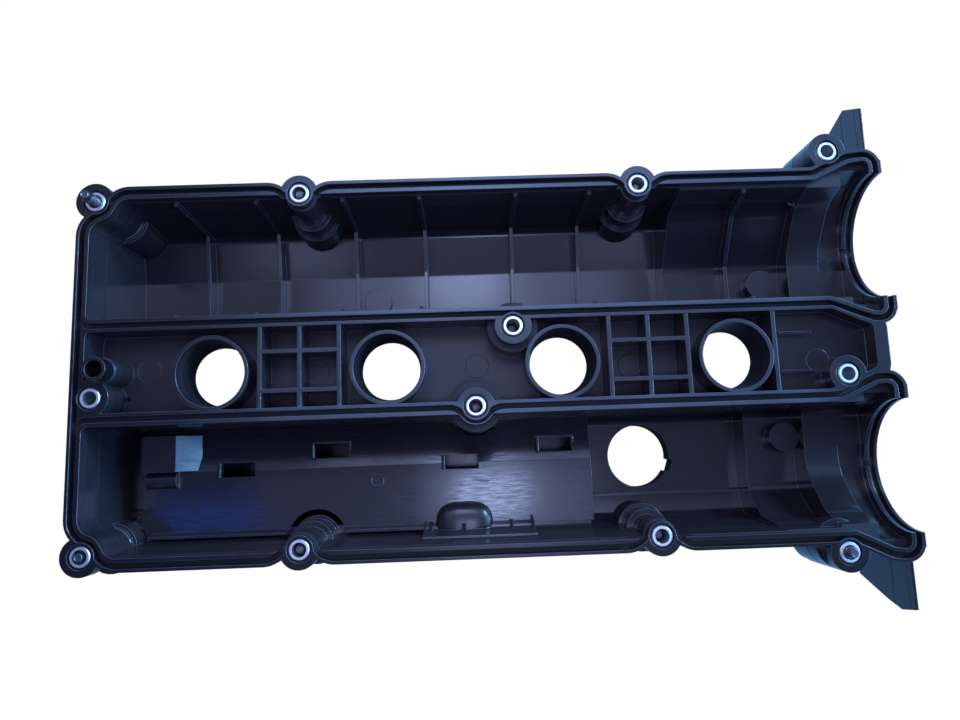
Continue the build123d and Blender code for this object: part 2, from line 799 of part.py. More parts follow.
for name, place in bolts.items():
    placed_sleeve = Location(at(place)) * sleeve.part
    placed_sleeve.label = "sleeve_" + name
    export_step(placed_sleeve, "parts/sleeve_" + name + ".step")
    placed_isolator = Location(at(place, isolator_top_gap)) * isolator.part
    placed_isolator.label = "isolator_" + name
    export_step(placed_isolator, "parts/isolator_" + name + ".step")
for name, tip in tips.items():
    placed_screw = Location(at(bolts[name], -tip)) * screw.part
    placed_screw.label = "screw_" + name
    export_step(placed_screw, "parts/screw_" + name + ".step")
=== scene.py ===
# %% [markdown]
# # Looks for a moulded valve cover, open side up
#
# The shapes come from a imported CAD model. This notebook loads that model as a fixed frame, gives
# each part the plastic, rubber or steel that the real one is made of, adds the fine pieces that a
# CAD model leaves out, and lights the whole thing on a plain white table.

# %% Load the fixed frame
import json
import math

import bpy
from mathutils import Matrix, Vector

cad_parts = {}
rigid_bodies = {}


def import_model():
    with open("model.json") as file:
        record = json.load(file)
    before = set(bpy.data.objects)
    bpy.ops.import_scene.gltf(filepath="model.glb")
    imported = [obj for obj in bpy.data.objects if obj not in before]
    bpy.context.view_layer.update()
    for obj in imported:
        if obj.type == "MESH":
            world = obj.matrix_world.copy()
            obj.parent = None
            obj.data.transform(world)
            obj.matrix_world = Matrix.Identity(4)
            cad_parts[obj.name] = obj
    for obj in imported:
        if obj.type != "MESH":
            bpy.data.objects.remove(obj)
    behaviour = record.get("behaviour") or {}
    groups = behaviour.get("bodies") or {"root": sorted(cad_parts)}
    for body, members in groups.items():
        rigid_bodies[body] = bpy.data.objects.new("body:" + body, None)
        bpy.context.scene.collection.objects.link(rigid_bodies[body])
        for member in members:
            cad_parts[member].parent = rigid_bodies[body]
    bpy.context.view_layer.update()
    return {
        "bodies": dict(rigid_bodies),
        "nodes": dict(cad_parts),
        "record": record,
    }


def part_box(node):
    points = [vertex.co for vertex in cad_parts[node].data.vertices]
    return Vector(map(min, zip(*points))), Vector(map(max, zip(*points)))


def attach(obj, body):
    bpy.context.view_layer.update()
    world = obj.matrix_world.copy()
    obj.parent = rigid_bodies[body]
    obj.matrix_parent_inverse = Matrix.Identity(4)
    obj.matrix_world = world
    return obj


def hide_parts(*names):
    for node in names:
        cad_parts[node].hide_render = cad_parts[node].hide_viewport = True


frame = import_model()
MM = 0.001

# %% [markdown]
# ## Camera
#
# A real lens is described by its focal length and by where it stands. The cover lies flat under a
# wide lens that hangs almost straight above it. A rotation vector holds the small tilt: its
# direction is the axis to turn about and its length is the angle.

# %% Hang the camera
LENS_MM = 25.58
SENSOR_MM = 36.0
NEAREST = 10 * MM
CAMERA_MM = (-9.42, -47.46, 407.99)
CAMERA_TURN = Vector((0.135, -0.0162, -0.0345))


def hang_camera():
    lens = bpy.data.cameras.new("camera")
    lens.lens = LENS_MM
    lens.sensor_width = SENSOR_MM
    lens.clip_start = NEAREST
    camera = bpy.data.objects.new("camera", lens)
    turn = Matrix.Rotation(CAMERA_TURN.length, 4, CAMERA_TURN.normalized())
    camera.matrix_world = Matrix.Translation(Vector(CAMERA_MM) * MM) @ turn
    bpy.context.collection.objects.link(camera)
    bpy.context.scene.camera = camera


hang_camera()
print("camera stands", round(CAMERA_MM[2]), "mm above the table")

# %% [markdown]
# ## A short way to write shader maths
#
# Shader trees are hard to read as lists of links. A small class wraps a socket, so that
# `1 - mask * 0.5` adds the Math nodes by itself. Every other node comes from one method, `node`,
# which sets the node's options first and then fills its sockets with values or links.

# %% Sockets as Python numbers
class Wire:
    """An output socket that Python's operators work on."""

    def __init__(self, tree, socket):
        self.tree = tree
        self.socket = socket

    def maths(self, operation, first, second):
        return self.tree.node("ShaderNodeMath", {"operation": operation}, {0: first, 1: second})

    def __add__(self, other):
        return self.maths("ADD", self, other)

    def __sub__(self, other):
        return self.maths("SUBTRACT", self, other)

    def __rsub__(self, other):
        return self.maths("SUBTRACT", other, self)

    def __mul__(self, other):
        return self.maths("MULTIPLY", self, other)

    __radd__ = __add__
    __rmul__ = __mul__


class Tree:
    """A node tree whose nodes come from one method."""

    def __init__(self, tree):
        self.tree = tree

    def node(self, kind, options=None, inputs=None, output=0):
        made = self.tree.nodes.new(kind)
        for name, value in (options or {}).items():
            if name == "stops":
                self.set_stops(made.color_ramp, value)
            else:
                setattr(made, name, value)
        for name, value in (inputs or {}).items():
            for one in value if isinstance(value, list) else [value]:
                if isinstance(one, Wire):
                    self.tree.links.new(one.socket, made.inputs[name])
                else:
                    made.inputs[name].default_value = one
        return Wire(self, made.outputs[output]) if len(made.outputs) else made

    @staticmethod
    def set_stops(ramp, stops):
        while len(ramp.elements) < len(stops):
            ramp.elements.new(1.0)
        for element, (place, value) in zip(ramp.elements, stops):
            element.position = place
            element.color = (value, value, value, 1.0)


print("wires and trees are ready")

# %% [markdown]
# ## Finishes
#
# Glass-filled nylon is black, but under a cool sky it looks navy. Its skin has a very fine grain
# from the glass fibres, slow clouds where the melt flowed, and pale edges, which are partly rubbed
# by handling and partly a painted highlight. Clouds, streaks and grain are three noise textures on
# Object coordinates, so that nothing slides when a piece moves. Sharp CAD edges catch no light, so
# a Bevel node rounds the shading normal, and where the rounded normal leaves the real one there is
# an edge, painted pale and a little metallic as rubbing and painted highlight together.

# %% Helpers for patterns
BEVEL_SAMPLES = 4
EDGE_AGREES = (0.95, 0.74)
WALL_SLOPES = (0.1, 0.5)


def material_tree(name):
    material = bpy.data.materials.new(name)
    material.use_nodes = True
    material.node_tree.nodes.clear()
    return material, Tree(material.node_tree)


def object_place(tree):
    return tree.node("ShaderNodeTexCoord", output="Object")


def along(tree, vector, axis):
    """One coordinate of a vector."""
    return tree.node("ShaderNodeSeparateXYZ", None, {"Vector": vector}, output=axis)


def noise(tree, place, per_m, detail=2.0, rough=0.5):
    inputs = {"Vector": place, "Scale": per_m, "Detail": detail, "Roughness": rough}
    return tree.node("ShaderNodeTexNoise", None, inputs)


def stretched_noise(tree, place, per_m, detail, rough=0.5, turn=0.0):
    """Noise with its own scale along each axis, turned about Z."""
    options = {"Vector": place, "Rotation": (0.0, 0.0, turn), "Scale": per_m}
    return noise(tree, tree.node("ShaderNodeMapping", None, options), 1.0, detail, rough)


def between(tree, value, low, high, to_low=0.0, to_high=1.0):
    """Ramp from to_low at low to to_high at high, level outside them."""
    inputs = {"Value": value, "From Min": low, "From Max": high}
    inputs.update({"To Min": to_low, "To Max": to_high})
    return tree.node("ShaderNodeMapRange", {"clamp": True}, inputs)


def between_mm(tree, value, band_mm, to_low=0.0, to_high=1.0):
    return between(tree, value, band_mm[0] * MM, band_mm[1] * MM, to_low, to_high)


def blend(tree, factor, first, second):
    """Mix two colours; 6, 7 and output 2 are the Mix node's colour sockets."""
    inputs = {"Factor": factor, 6: first, 7: second}
    return tree.node("ShaderNodeMix", {"data_type": "RGBA"}, inputs, output=2)


def edge_mask(tree, radius_mm):
    """The rounded normal, and a mask that is 1 on sharp edges and 0 on flats."""
    rounded = tree.node("ShaderNodeBevel", {"samples": BEVEL_SAMPLES}, {"Radius": radius_mm * MM})
    real = tree.node("ShaderNodeNewGeometry", output="Normal")
    inputs = {0: rounded, 1: real}
    agree = tree.node("ShaderNodeVectorMath", {"operation": "DOT_PRODUCT"}, inputs, output="Value")
    return rounded, between(tree, agree, *EDGE_AGREES)


def upright_mask(tree):
    """1 on walls, 0 on floors."""
    up = along(tree, tree.node("ShaderNodeNewGeometry", output="Normal"), "Z")
    return 1.0 - between(tree, up * up, *WALL_SLOPES)


def bump(tree, strength, depth_mm, height, normal=None):
    inputs = {"Strength": strength, "Distance": depth_mm * MM, "Height": height}
    if normal:
        inputs["Normal"] = normal
    return tree.node("ShaderNodeBump", None, inputs)


def finish_surface(tree, inputs):
    surface = tree.node("ShaderNodeBsdfPrincipled", None, inputs)
    tree.node("ShaderNodeOutputMaterial", None, {"Surface": surface})


print("pattern helpers are ready")

# %% [markdown]
# The mould leaves its marks in certain places, and some colour is set by place. Walls are painted
# a little paler than floors, as painted fill light. The channel floor, the rib tops and the ledges
# of the bolt columns come out matt. The sealing faces, here called lands, are the highest faces of
# all: they are made darker, and then paler again, except at the left end and along the filler's
# rim. Inside the channel, the wells and ribs are made less pale.
#
# A painted mask would have to be lined up with the mesh. Each of these places is set apart by its
# height, its slope or its side of the cover, so a ramp on Object coordinates or on the normal finds
# it, and stays with it when the piece moves.

# %% Places on the moulding
LANDS_MM = (72.2, 72.7)
CHANNEL_FLOOR_MM = (54.6, 56.4)
LEDGE_MM = (67.9, 68.1)
BAND_FADE_MM = 0.3
# Where the lands are made paler again.
PALER_START_X_MM = (-150.0, -60.0)
PALER_START_Y_MM = (-75.0, -40.0)
PALER_END_X_MM = (160.0, 178.0)
CHANNEL_HALF_MM = (19.5, 24.0)
PALER_AT_END, PALER_IN_CHANNEL = 0.2, 0.4


def level_band(tree, height, band_mm):
    """1 between two heights, 0 from a short fade outside them."""
    low, high = band_mm
    above = between_mm(tree, height, (low - BAND_FADE_MM, low))
    return above * between_mm(tree, height, (high + BAND_FADE_MM, high))


def paler_land_share(tree, place):
    """How much paler its land is made, by side of the cover."""
    x, y = along(tree, place, "X"), along(tree, place, "Y")
    share = between_mm(tree, x, PALER_START_X_MM) * between_mm(tree, y, PALER_START_Y_MM)
    share = share * between_mm(tree, x, PALER_END_X_MM, 1.0, PALER_AT_END)
    low, high = ((edge * MM) ** 2 for edge in CHANNEL_HALF_MM)
    return share * between(tree, y * y, low, high, PALER_IN_CHANNEL, 1.0)


print("lands start", LANDS_MM[0], "mm up, the channel floor is at", CHANNEL_FLOOR_MM)

# %% [markdown]
# The plastic's colour is built up in layers: the mottled black of the melt, the walls painted paler
# as painted fill light, the darker lands, their paler middle, and last the pale edges, partly
# rubbed and partly a painted highlight, which fade towards the crown.
# Scratches in three directions and the rubs of a cloth lie on the baffle alone. They change both
# the roughness and the height, so that they show in the glow as well as beside it.

# %% Colour of the nylon
BLACK = (0.0120, 0.0113, 0.0145, 1.0)
LIGHTER_BLACK = (0.0185, 0.0178, 0.0225, 1.0)
# Walls are painted paler than floors: painted fill light.
WALL_FILL_LIGHT_COLOUR = (0.022, 0.0205, 0.0255, 1.0)
# Darker colour for the lands.
DARKER_LAND_COLOUR = (0.003, 0.003, 0.004, 1.0)
# Paler colour for the middle of the lands.
PALER_LAND_COLOUR = (0.072, 0.082, 0.108, 1.0)
# Pale edge colour: partly rubbed by handling, partly a painted highlight.
RUBBED_AND_HIGHLIGHT_COLOUR = (0.30, 0.31, 0.42, 1.0)
FLOW_PER_M, FLOW_DETAIL = (6.0, 60.0, 30.0), 3.0
CLOUD_SHARE, STREAK_SHARE = 0.7, 0.3
MOTTLE_LEVELS, PALER_LEVELS, PALER_LEAST = (0.35, 0.65), (0.3, 0.7), 0.6
LAND_DARKENING, RUBBED_AND_HIGHLIGHT_COVER = 0.85, 0.8


def nylon_colour(tree, place, clouds, lands, rubbed_and_highlight):
    streaks = stretched_noise(tree, place, FLOW_PER_M, FLOW_DETAIL)
    mottle = between(tree, clouds * CLOUD_SHARE + streaks * STREAK_SHARE, *MOTTLE_LEVELS)
    melt = blend(tree, mottle, BLACK, LIGHTER_BLACK)
    # Upright faces take the paler colour as painted fill light.
    walls_lit = blend(tree, upright_mask(tree), melt, WALL_FILL_LIGHT_COLOUR)
    # The lands are made darker.
    darkened_lands = blend(tree, lands * LAND_DARKENING, walls_lit, DARKER_LAND_COLOUR)
    # The lands are made paler again over the middle of the cover.
    paler_lands = lands * paler_land_share(tree, place)
    paler_lands = paler_lands * between(tree, clouds, *PALER_LEVELS, PALER_LEAST, 1.0)
    with_paler_lands = blend(tree, paler_lands, darkened_lands, PALER_LAND_COLOUR)
    # Pale edges: partly rubbed, partly a painted highlight.
    return blend(tree, rubbed_and_highlight * RUBBED_AND_HIGHLIGHT_COVER, with_paler_lands, RUBBED_AND_HIGHLIGHT_COLOUR)


print("nylon colours from", BLACK[:3], "to", RUBBED_AND_HIGHLIGHT_COLOUR[:3])

# %% Scratches and rubs
# Turn about Z, scale per metre, and the noise level where a scratch starts.
SCRATCHES = [
    (0.03, (60.0, 900.0, 1.0), 0.60),
    (0.5, (90.0, 700.0, 1.0), 0.68),
    (1.2, (70.0, 800.0, 1.0), 0.70),
]
SCRATCH_DETAIL, SCRATCH_ROUGH_NOISE = 3.0, 0.6
SCRATCH_EDGE, SCRATCH_ROUGH = 0.10, 0.10
RUBS_PER_M, RUBS_DETAIL, RUBS_ROUGH_NOISE = (110.0, 1300.0, 1.0), 4.0, 0.7
RUBS_LEVELS, RUBS_ROUGH, RUBS_HEIGHT = (0.38, 0.62), (-0.06, 0.10), 0.5


def scratch_marks(tree, place, depth):
    """What scratches and rubs add to the roughness and to the height."""
    rubs = stretched_noise(tree, place, RUBS_PER_M, RUBS_DETAIL, RUBS_ROUGH_NOISE)
    rough, height = between(tree, rubs, *RUBS_LEVELS, *RUBS_ROUGH), rubs * RUBS_HEIGHT
    for turn, per_m, start in SCRATCHES:
        lines = stretched_noise(tree, place, per_m, SCRATCH_DETAIL, SCRATCH_ROUGH_NOISE, turn)
        lines = between(tree, lines, start, start + SCRATCH_EDGE)
        rough, height = rough + lines * SCRATCH_ROUGH, height + lines * depth
    return rough, height


print("scratch directions:", len(SCRATCHES))

# %% Moulded nylon
CLOUDS_PER_M, CLOUD_DETAIL, CLOUD_ROUGH_NOISE = 22.0, 4.0, 0.6
SPECKS_PER_M = 2600.0
EDGE_FADE_MM, EDGE_FADE_LEAST = (5.0, 55.0), 0.4
RUBBED_AND_HIGHLIGHT_LEVELS, RUBBED_AND_HIGHLIGHT_LEAST, RUBBED_AND_HIGHLIGHT_METALLIC = (0.35, 0.6), 0.45, 0.3
CLOUDS_ROUGH, SPECKS_ROUGH, EDGE_POLISH = 0.10, 0.06, 0.06
MATT_LANDS, MATT_FLOOR, MATT_LEDGE = 0.5, 1.1, 0.5
NYLON_BUMP, NYLON_BUMP_MM = 0.35, 0.05


def nylon(name, rough, edge_mm, grain, scratches=0.0, matt=0.0):
    """Glass-filled nylon; matt is how much rougher the mould's matt places are."""
    material, tree = material_tree(name)
    place = object_place(tree)
    clouds = noise(tree, place, CLOUDS_PER_M, CLOUD_DETAIL, CLOUD_ROUGH_NOISE)
    specks = noise(tree, place, SPECKS_PER_M)
    rounded, sharp_edges = edge_mask(tree, edge_mm)
    up = along(tree, place, "Z")
    lands, ledge = between_mm(tree, up, LANDS_MM), level_band(tree, up, LEDGE_MM)
    edge_fade = between_mm(tree, up, EDGE_FADE_MM, EDGE_FADE_LEAST, 1.0)
    # Pale edges, partly rubbed and partly a painted highlight; they are also made a little
    # metallic.
    rubbed_and_highlight = sharp_edges * between(tree, clouds, *RUBBED_AND_HIGHLIGHT_LEVELS, RUBBED_AND_HIGHLIGHT_LEAST, 1.0) * edge_fade * (1.0 - ledge)
    shine = rough + (clouds - 0.5) * CLOUDS_ROUGH + (specks - 0.5) * SPECKS_ROUGH
    shine = shine - sharp_edges * EDGE_POLISH + ledge * MATT_LEDGE
    height = specks * grain
    if matt:
        floor = level_band(tree, up, CHANNEL_FLOOR_MM)
        shine = shine + (lands * MATT_LANDS + floor * MATT_FLOOR) * matt
    if scratches:
        rougher, higher = scratch_marks(tree, place, scratches)
        shine, height = shine + rougher, height + higher
    finish_surface(
        tree,
        {
            "Base Color": nylon_colour(tree, place, clouds, lands, rubbed_and_highlight),
            "Metallic": rubbed_and_highlight * RUBBED_AND_HIGHLIGHT_METALLIC,
            "Roughness": shine,
            "Normal": bump(tree, NYLON_BUMP, NYLON_BUMP_MM, height, rounded),
        },
    )
    return material


FINISHES = {
    "nylon": nylon("nylon", rough=0.20, edge_mm=0.6, grain=0.25, matt=0.26),
    "baffle_nylon": nylon("baffle_nylon", rough=0.15, edge_mm=0.5, grain=0.1, scratches=0.35),
    "cup_nylon": nylon("cup_nylon", rough=0.30, edge_mm=0.6, grain=0.1),
}
print("plastics:", ", ".join(FINISHES))

# %% [markdown]
# Zinc-plated steel is a metal, so all its colour is in its reflection. The sleeves are bright and
# the screws are darker and duller. Clouds of tarnish change the colour and the roughness together,
# and fine specks roughen the plating. Bores and shanks see little of the sky, so their upright
# faces are painted a dull blue as painted shade. The rubber of the isolators is almost black,
# with a pale dust on it that is a little rougher.

# %% Plated steel
TARNISH_PER_M, TARNISH_DETAIL, TARNISH_ROUGH_NOISE = 260.0, 3.0, 0.6
TARNISH_LEVELS, TARNISH_ROUGH = (0.45, 0.75), 0.08
PLATE_SPECKS_PER_M, PLATE_SPECKS_ROUGH = 3500.0, 0.06
STEEL_EDGE_MM, STEEL_EDGE_POLISH = 0.15, 0.05
STEEL_BUMP, STEEL_BUMP_MM = 0.3, 0.03
# Dull blue painted shade for bores and shanks.
BORE_PAINTED_SHADE = (0.10, 0.15, 0.20, 1.0)


def plated_steel(name, colour, tarnish, rough, painted_bore_shade):
    """Zinc plate; the last argument is how much painted shade darkens the upright faces."""
    material, tree = material_tree(name)
    place = object_place(tree)
    clouds = noise(tree, place, TARNISH_PER_M, TARNISH_DETAIL, TARNISH_ROUGH_NOISE)
    specks = noise(tree, place, PLATE_SPECKS_PER_M)
    rounded, sharp_edges = edge_mask(tree, STEEL_EDGE_MM)
    stained = between(tree, clouds, *TARNISH_LEVELS)
    plate = blend(tree, stained, colour, tarnish)
    shine = rough + stained * TARNISH_ROUGH + (specks - 0.5) * PLATE_SPECKS_ROUGH
    finish_surface(
        tree,
        {
            # Upright faces take the dull blue of painted shade.
            "Base Color": blend(tree, upright_mask(tree) * painted_bore_shade, plate, BORE_PAINTED_SHADE),
            "Metallic": 1.0,
            "Roughness": shine - sharp_edges * STEEL_EDGE_POLISH,
            "Normal": bump(tree, STEEL_BUMP, STEEL_BUMP_MM, specks, rounded),
        },
    )
    return material


FINISHES["sleeve_steel"] = plated_steel(
    "sleeve_steel", (0.92, 0.93, 0.94, 1.0), (0.80, 0.81, 0.84, 1.0), rough=0.44, painted_bore_shade=0.35
)
FINISHES["screw_steel"] = plated_steel(
    "screw_steel", (0.20, 0.20, 0.22, 1.0), (0.09, 0.085, 0.10, 1.0), rough=0.48, painted_bore_shade=0.3
)
print("steels:", [name for name in FINISHES if name.endswith("steel")])

# %% Rubber
RUBBER_BLACK, RUBBER_DUST = (0.004, 0.004, 0.0045, 1.0), (0.012, 0.012, 0.014, 1.0)
DUST_PER_M, DUST_DETAIL, DUST_LEVELS = 180.0, 3.0, (0.45, 0.7)
RUBBER_ROUGH, DUST_ROUGH = 0.6, 0.25
RUBBER_GRAIN_PER_M, RUBBER_BUMP, RUBBER_BUMP_MM = 2200.0, 0.4, 0.05


def rubber(name):
    material, tree = material_tree(name)
    place = object_place(tree)
    dust = between(tree, noise(tree, place, DUST_PER_M, DUST_DETAIL), *DUST_LEVELS)
    grain = noise(tree, place, RUBBER_GRAIN_PER_M)
    finish_surface(
        tree,
        {
            "Base Color": blend(tree, dust, RUBBER_BLACK, RUBBER_DUST),
            "Roughness": RUBBER_ROUGH + dust * DUST_ROUGH,
            "Normal": bump(tree, RUBBER_BUMP, RUBBER_BUMP_MM, grain),
        },
    )
    return material


FINISHES["rubber"] = rubber("rubber")
print("finishes:", len(FINISHES))

# %% Dress the CAD nodes
for row in frame["record"]["subparts"]:
    part = frame["nodes"][row["node"]]
    part.data.materials.clear()
    part.data.materials.append(FINISHES[row["material_slot"]])
print("dressed", len(frame["nodes"]), "nodes")

# %% [markdown]
# ## Screws with real threads
#
# The CAD screws have a plain cylinder in place of their thread. The real ones are M6 screws with a
# rolled thread and a thin guide point that finds its hole. A turned body is a profile spun about
# the screw's axis, which plain mesh code does in a few lines, and with six steps the same code
# makes the hex head. The thread is one shape that follows a helix, so Geometry Nodes make it: a
# Spiral carries a small diamond section along its turns.

# %% Helpers for pieces
NYLON_BODY = "cover_moulding"


def link_mesh(name, verts, faces, slot):
    mesh = bpy.data.meshes.new(name)
    mesh.from_pydata(verts, [], faces)
    mesh.materials.append(FINISHES[slot])
    piece = bpy.data.objects.new(name, mesh)
    bpy.context.collection.objects.link(piece)
    return piece


def turned(profile, centre, steps, first=0):
    """Rings of points round an upright axis; profile runs downwards from one pole to the other."""
    verts, faces, rings = [], [], []
    for radius, z in profile:
        count = steps if radius > 0 else 1
        rings.append([first + len(verts) + i for i in range(count)])
        for i in range(count):
            angle = 2 * math.pi * i / steps
            x, y = centre[0] + radius * math.cos(angle), centre[1] + radius * math.sin(angle)
            verts.append((x, y, z))
    for above, below in zip(rings, rings[1:]):
        for i in range(steps):
            j = (i + 1) % steps
            loop = [above[i % len(above)], below[i % len(below)]]
            loop += [below[j % len(below)], above[j % len(above)]]
            faces.append([v for n, v in enumerate(loop) if v not in loop[:n]])
    return verts, faces


print("piece helpers are ready")

# %% Geometry trees
def geometry_tree(name, inputs):
    """Empty geometry tree with named inputs and one geometry output."""
    group = bpy.data.node_groups.new(name, "GeometryNodeTree")
    group.interface.new_socket("Geometry", in_out="INPUT", socket_type="NodeSocketGeometry")
    for label, kind in inputs.items():
        group.interface.new_socket(label, in_out="INPUT", socket_type="NodeSocket" + kind)
    group.interface.new_socket("Geometry", in_out="OUTPUT", socket_type="NodeSocketGeometry")
    given = group.nodes.new("NodeGroupInput")
    tree = Tree(group)
    return tree, {socket.name: Wire(tree, socket) for socket in given.outputs if socket.name}


def circle(tree, steps, radius):
    inputs = {"Resolution": steps, "Radius": radius}
    return tree.node("GeometryNodeCurvePrimitiveCircle", None, inputs)


def swept(tree, path, section, caps):
    inputs = {"Curve": path, "Profile Curve": section, "Fill Caps": caps}
    return tree.node("GeometryNodeCurveToMesh", None, inputs)


def on_points(tree, points, instance):
    inputs = {"Points": points, "Instance": instance}
    return tree.node("GeometryNodeInstanceOnPoints", None, inputs)


def close_tree(tree, geometry, material):
    real = tree.node("GeometryNodeRealizeInstances", None, {"Geometry": geometry})
    inputs = {"Geometry": real, "Material": material}
    dressed = tree.node("GeometryNodeSetMaterial", None, inputs)
    tree.node("NodeGroupOutput", None, {"Geometry": dressed})
    return tree.tree


def grow(piece, group, values):
    """Run a geometry tree on a piece and keep the result as its plain mesh."""
    modifier = piece.modifiers.new(group.name, "NODES")
    modifier.node_group = group
    for item in group.interface.items_tree:
        if item.in_out == "INPUT" and item.name in values:
            modifier[item.identifier] = values[item.name]
    ready = piece.evaluated_get(bpy.context.evaluated_depsgraph_get())
    made = bpy.data.meshes.new_from_object(ready)
    made.name = piece.name
    piece.modifiers.remove(modifier)
    piece.data = made


print("geometry helpers are ready")

# %% A thread as a geometry node tree
HELIX_STEPS = 24
DIAMOND = 4


def thread_tree():
    sizes = {"Pitch": "Float", "Length": "Float", "Flank Radius": "Float", "Section": "Float"}
    others = {"Place": "Vector", "Material": "Material"}
    tree, given = geometry_tree("rolled_thread", {**sizes, **others})
    inputs = {0: given["Length"], 1: given["Pitch"]}
    helix = tree.node(
        "GeometryNodeCurveSpiral",
        None,
        {
            "Resolution": HELIX_STEPS,
            "Rotations": tree.node("ShaderNodeMath", {"operation": "DIVIDE"}, inputs),
            "Start Radius": given["Flank Radius"],
            "End Radius": given["Flank Radius"],
            "Height": given["Length"],
        },
    )
    ridge = swept(tree, helix, circle(tree, DIAMOND, given["Section"]), True)
    inputs = {"Geometry": ridge, "Translation": given["Place"]}
    placed = tree.node("GeometryNodeTransform", None, inputs)
    inputs = {"Geometry": [placed, given["Geometry"]]}
    both = tree.node("GeometryNodeJoinGeometry", None, inputs)
    return close_tree(tree, both, given["Material"])


THREAD = thread_tree()
print("thread tree has", len(THREAD.nodes), "nodes")

# %% [markdown]
# Every screw takes its place from its CAD node's box: the middle of the box is the axis, and its
# top is the tip. The head's bearing face lies a hair's breadth lower than in the CAD node, so that
# a seated head and its sleeve don't share a face.

# %% Nine captive screws
PITCH, CORE_R, SHANK_R = 1.0 * MM, 2.42 * MM, 2.6 * MM
POINT_R, POINT_LEN, THREAD_LEN, SCREW_LEN = 2.05 * MM, 3.4 * MM, 10.0 * MM, 40.0 * MM
DISH_R, DISH_RIM_R, POINT_FACE_R = 1.3 * MM, 1.6 * MM, 1.8 * MM
FLANGE_R, FLANGE_T, HEX_R, HEAD_H = 6.6 * MM, 1.6 * MM, 5.77 * MM, 5.0 * MM
BREAK = 0.3 * MM
SECTION, FLANK_R, SEAT_GAP = 0.40 * MM, CORE_R + 0.15 * MM, 0.02 * MM
SCREW_STEPS, HEX_STEPS = 32, 6


def shaft_profile(tip):
    """Radius and height from the dished tip down to the top of the head's flange."""
    thread_top = tip - POINT_LEN
    thread_foot = thread_top - THREAD_LEN
    under = tip - SCREW_LEN - SEAT_GAP
    return [
        (0, tip - BREAK),
        (DISH_R, tip - BREAK),
        (DISH_RIM_R, tip),
        (POINT_FACE_R, tip),
        (POINT_R, tip - BREAK),
        (POINT_R, thread_top),
        (CORE_R, thread_top - BREAK),
        (CORE_R, thread_foot),
        (SHANK_R, thread_foot - BREAK),
        (SHANK_R, under),
        (FLANGE_R - BREAK, under),
        (FLANGE_R, under - BREAK),
        (HEX_R, under - FLANGE_T),
        (0, under - FLANGE_T),
    ]


def hex_profile(tip):
    top = tip - SCREW_LEN - SEAT_GAP - BREAK
    bottom = tip - SCREW_LEN - HEAD_H
    side = [(HEX_R, top), (HEX_R, bottom + 2 * BREAK), (HEX_R - BREAK, bottom)]
    return [(0, top), *side, (0, bottom)]


def screw(node, body):
    low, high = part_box(node)
    centre, tip = ((low[0] + high[0]) / 2, (low[1] + high[1]) / 2), high[2]
    verts, faces = turned(shaft_profile(tip), centre, SCREW_STEPS)
    more, sides = turned(hex_profile(tip), centre, HEX_STEPS, first=len(verts))
    piece = link_mesh(node + "_threaded", verts + more, faces + sides, "screw_steel")
    place = (*centre, tip - POINT_LEN - THREAD_LEN)
    sizes = {"Pitch": PITCH, "Length": THREAD_LEN, "Flank Radius": FLANK_R, "Section": SECTION}
    grow(piece, THREAD, {**sizes, "Place": place, "Material": FINISHES["screw_steel"]})
    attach(piece, body)
    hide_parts(node)
    return piece


for body in sorted(frame["bodies"]):
    if body.startswith("captive_screw_"):
        made = screw(body.replace("captive_", ""), body)
        print(made.name, len(made.data.polygons), "faces")

# %% [markdown]
# ## Marks of the mould
#
# Ejector pins push the moulding out of its mould and leave round marks on its floors. Here there is
# one on each stretch of the channel floor and one on the step at its right end. They are all one
# low disc with a fine rim, so one Geometry Nodes tree puts a disc on each point of a mesh that
# holds nothing but those points. A bump texture would be lost in the mesh, so the disc is real.

# %% Ejector marks
# Plan places are measured from the middle of the channel, which is off the frame's middle.
PLAN_X, PLAN_Y = -5.6 * MM, -4.0 * MM
CHANNEL_UP, STEP_UP = 55.0, 64.0
EJECTORS_MM = [
    (-168.2, 3.9, CHANNEL_UP),
    (-81.6, 0.9, CHANNEL_UP),
    (1.1, 1.3, CHANNEL_UP),
    (80.6, -1.4, CHANNEL_UP),
    (175.5, -3.0, STEP_UP),
]
MARK_R, MARK_H, MARK_RIM = 6.3 * MM, 0.12 * MM, 0.22 * MM
MARK_STEPS, BEAD_STEPS, BEAD_SHARE = 40, 6, 0.6


def mark_tree():
    sizes = {"Radius": "Float", "Height": "Float", "Rim": "Float"}
    tree, given = geometry_tree("ejector_marks", {**sizes, "Material": "Material"})
    inner = given["Radius"] - given["Rim"]
    inputs = {
        "Vertices": MARK_STEPS,
        "Radius Bottom": given["Radius"],
        "Radius Top": inner,
        "Depth": given["Height"],
    }
    disc = tree.node("GeometryNodeMeshCone", {"fill_type": "NGON"}, inputs)
    bead = circle(tree, BEAD_STEPS, given["Rim"] * BEAD_SHARE)
    rim = swept(tree, circle(tree, MARK_STEPS, inner), bead, False)
    raised = tree.node("ShaderNodeCombineXYZ", None, {"Z": given["Height"]})
    inputs = {"Geometry": rim, "Translation": raised}
    lifted = tree.node("GeometryNodeTransform", None, inputs)
    mark = tree.node("GeometryNodeJoinGeometry", None, {"Geometry": [disc, lifted]})
    return close_tree(tree, on_points(tree, given["Geometry"], mark), given["Material"])


def ejector_marks():
    places = [(PLAN_X + x * MM, PLAN_Y + y * MM, up * MM) for x, y, up in EJECTORS_MM]
    piece = link_mesh("ejector_marks", places, [], "nylon")
    sizes = {"Radius": MARK_R, "Height": MARK_H, "Rim": MARK_RIM}
    grow(piece, mark_tree(), {**sizes, "Material": FINISHES["nylon"]})
    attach(piece, NYLON_BODY)
    return piece


print("ejector marks:", len(ejector_marks().data.polygons), "faces")

